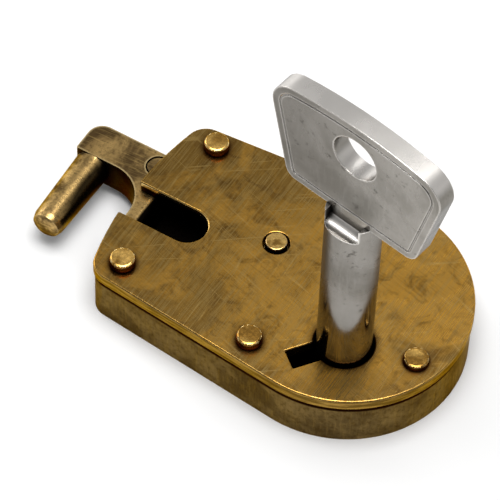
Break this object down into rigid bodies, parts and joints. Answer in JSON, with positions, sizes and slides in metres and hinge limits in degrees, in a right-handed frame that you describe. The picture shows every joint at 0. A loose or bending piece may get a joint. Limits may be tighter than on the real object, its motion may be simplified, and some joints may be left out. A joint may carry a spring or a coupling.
{
  "type": "riveted lever lock with sliding hook and pipe key",
  "caption": "Flat riveted brass lever lock with an open slot, a sliding hook beside it and a turned pipe key with a trapezoid bow.",
  "frame": {"origin": "centre of the case's flat back face, midway along its length", "axes": "+X from the slotted end to the round end, +Y towards the side of the hook's arm, +Z out of the cover towards the key's bow"},
  "size_m": [0.0826, 0.0458, 0.0752],
  "materials": {
    "case_brass": "aged, dull side walls with vertical streaks",
    "cover_brass": "aged, finely brushed and scratched, stained",
    "rivet_brass": "worn bright on the rims, tarnished round the base",
    "post_brass": "polished pale",
    "hook_brass": "tarnished patches with bright worn edges",
    "lever_brass": "stamped sheet, clean inside the case",
    "pin_steel": "turned, dull",
    "spring_steel": "blued strip",
    "key_nickel": "dull worn nickel with dark specks, polished towards the bit"
  },
  "bodies": {
    "case": {"case_body": "case_brass", "cover_plate": "cover_brass", "case_rivet_1": "rivet_brass", "case_rivet_2": "rivet_brass", "case_rivet_3": "rivet_brass", "case_rivet_4": "rivet_brass", "case_rivet_5": "rivet_brass", "lever_post": "post_brass", "post_washer": "spring_steel", "key_guide_pin": "pin_steel", "lever_stop_pin": "pin_steel"},
    "hook": {"hook": "hook_brass", "hook_tail": "hook_brass", "hook_rivet_outer": "hook_brass", "hook_rivet_inner": "rivet_brass", "stump": "pin_steel"},
    "key": {"key_barrel": "key_nickel", "key_bow": "key_nickel", "key_bit": "key_nickel"},
    "lever_1": {"lever_1": "lever_brass", "lever_spring_1": "spring_steel"},
    "lever_2": {"lever_2": "lever_brass", "lever_spring_2": "spring_steel"},
    "lever_3": {"lever_3": "lever_brass", "lever_spring_3": "spring_steel"},
    "lever_4": {"lever_4": "lever_brass", "lever_spring_4": "spring_steel"},
    "lever_5": {"lever_5": "lever_brass", "lever_spring_5": "spring_steel"}
  },
  "joints": [
    {"name": "hook_slide", "type": "slide", "parent": "case", "child": "hook", "axis": [1, 0, 0], "range_m": [0, 0.0079]},
    {"name": "key_turn", "type": "hinge", "parent": "case", "child": "key", "pos_m": [0.01555, -0.0091, 0.0122], "axis": [0, 0, 1], "range_deg": [0, 62]},
    {"name": "lever_1_lift", "type": "hinge", "parent": "case", "child": "lever_1", "pos_m": [-0.00565, 0.0033, 0.0051], "axis": [0, 0, 1], "range_deg": [0, 11.5]},
    {"name": "lever_2_lift", "type": "hinge", "parent": "case", "child": "lever_2", "pos_m": [-0.00565, 0.0033, 0.0061], "axis": [0, 0, 1], "range_deg": [0, 11.5]},
    {"name": "lever_3_lift", "type": "hinge", "parent": "case", "child": "lever_3", "pos_m": [-0.00565, 0.0033, 0.0071], "axis": [0, 0, 1], "range_deg": [0, 11.5]},
    {"name": "lever_4_lift", "type": "hinge", "parent": "case", "child": "lever_4", "pos_m": [-0.00565, 0.0033, 0.0081], "axis": [0, 0, 1], "range_deg": [0, 11.5]},
    {"name": "lever_5_lift", "type": "hinge", "parent": "case", "child": "lever_5", "pos_m": [-0.00565, 0.0033, 0.0091], "axis": [0, 0, 1], "range_deg": [0, 11.5]}
  ],
  "couplings": [
    {"joint": "lever_1_lift", "follows": "key_turn", "ratio": 0.17},
    {"joint": "lever_2_lift", "follows": "key_turn", "ratio": 0.17},
    {"joint": "lever_3_lift", "follows": "key_turn", "ratio": 0.17},
    {"joint": "lever_4_lift", "follows": "key_turn", "ratio": 0.17},
    {"joint": "lever_5_lift", "follows": "key_turn", "ratio": 0.17}
  ]
}
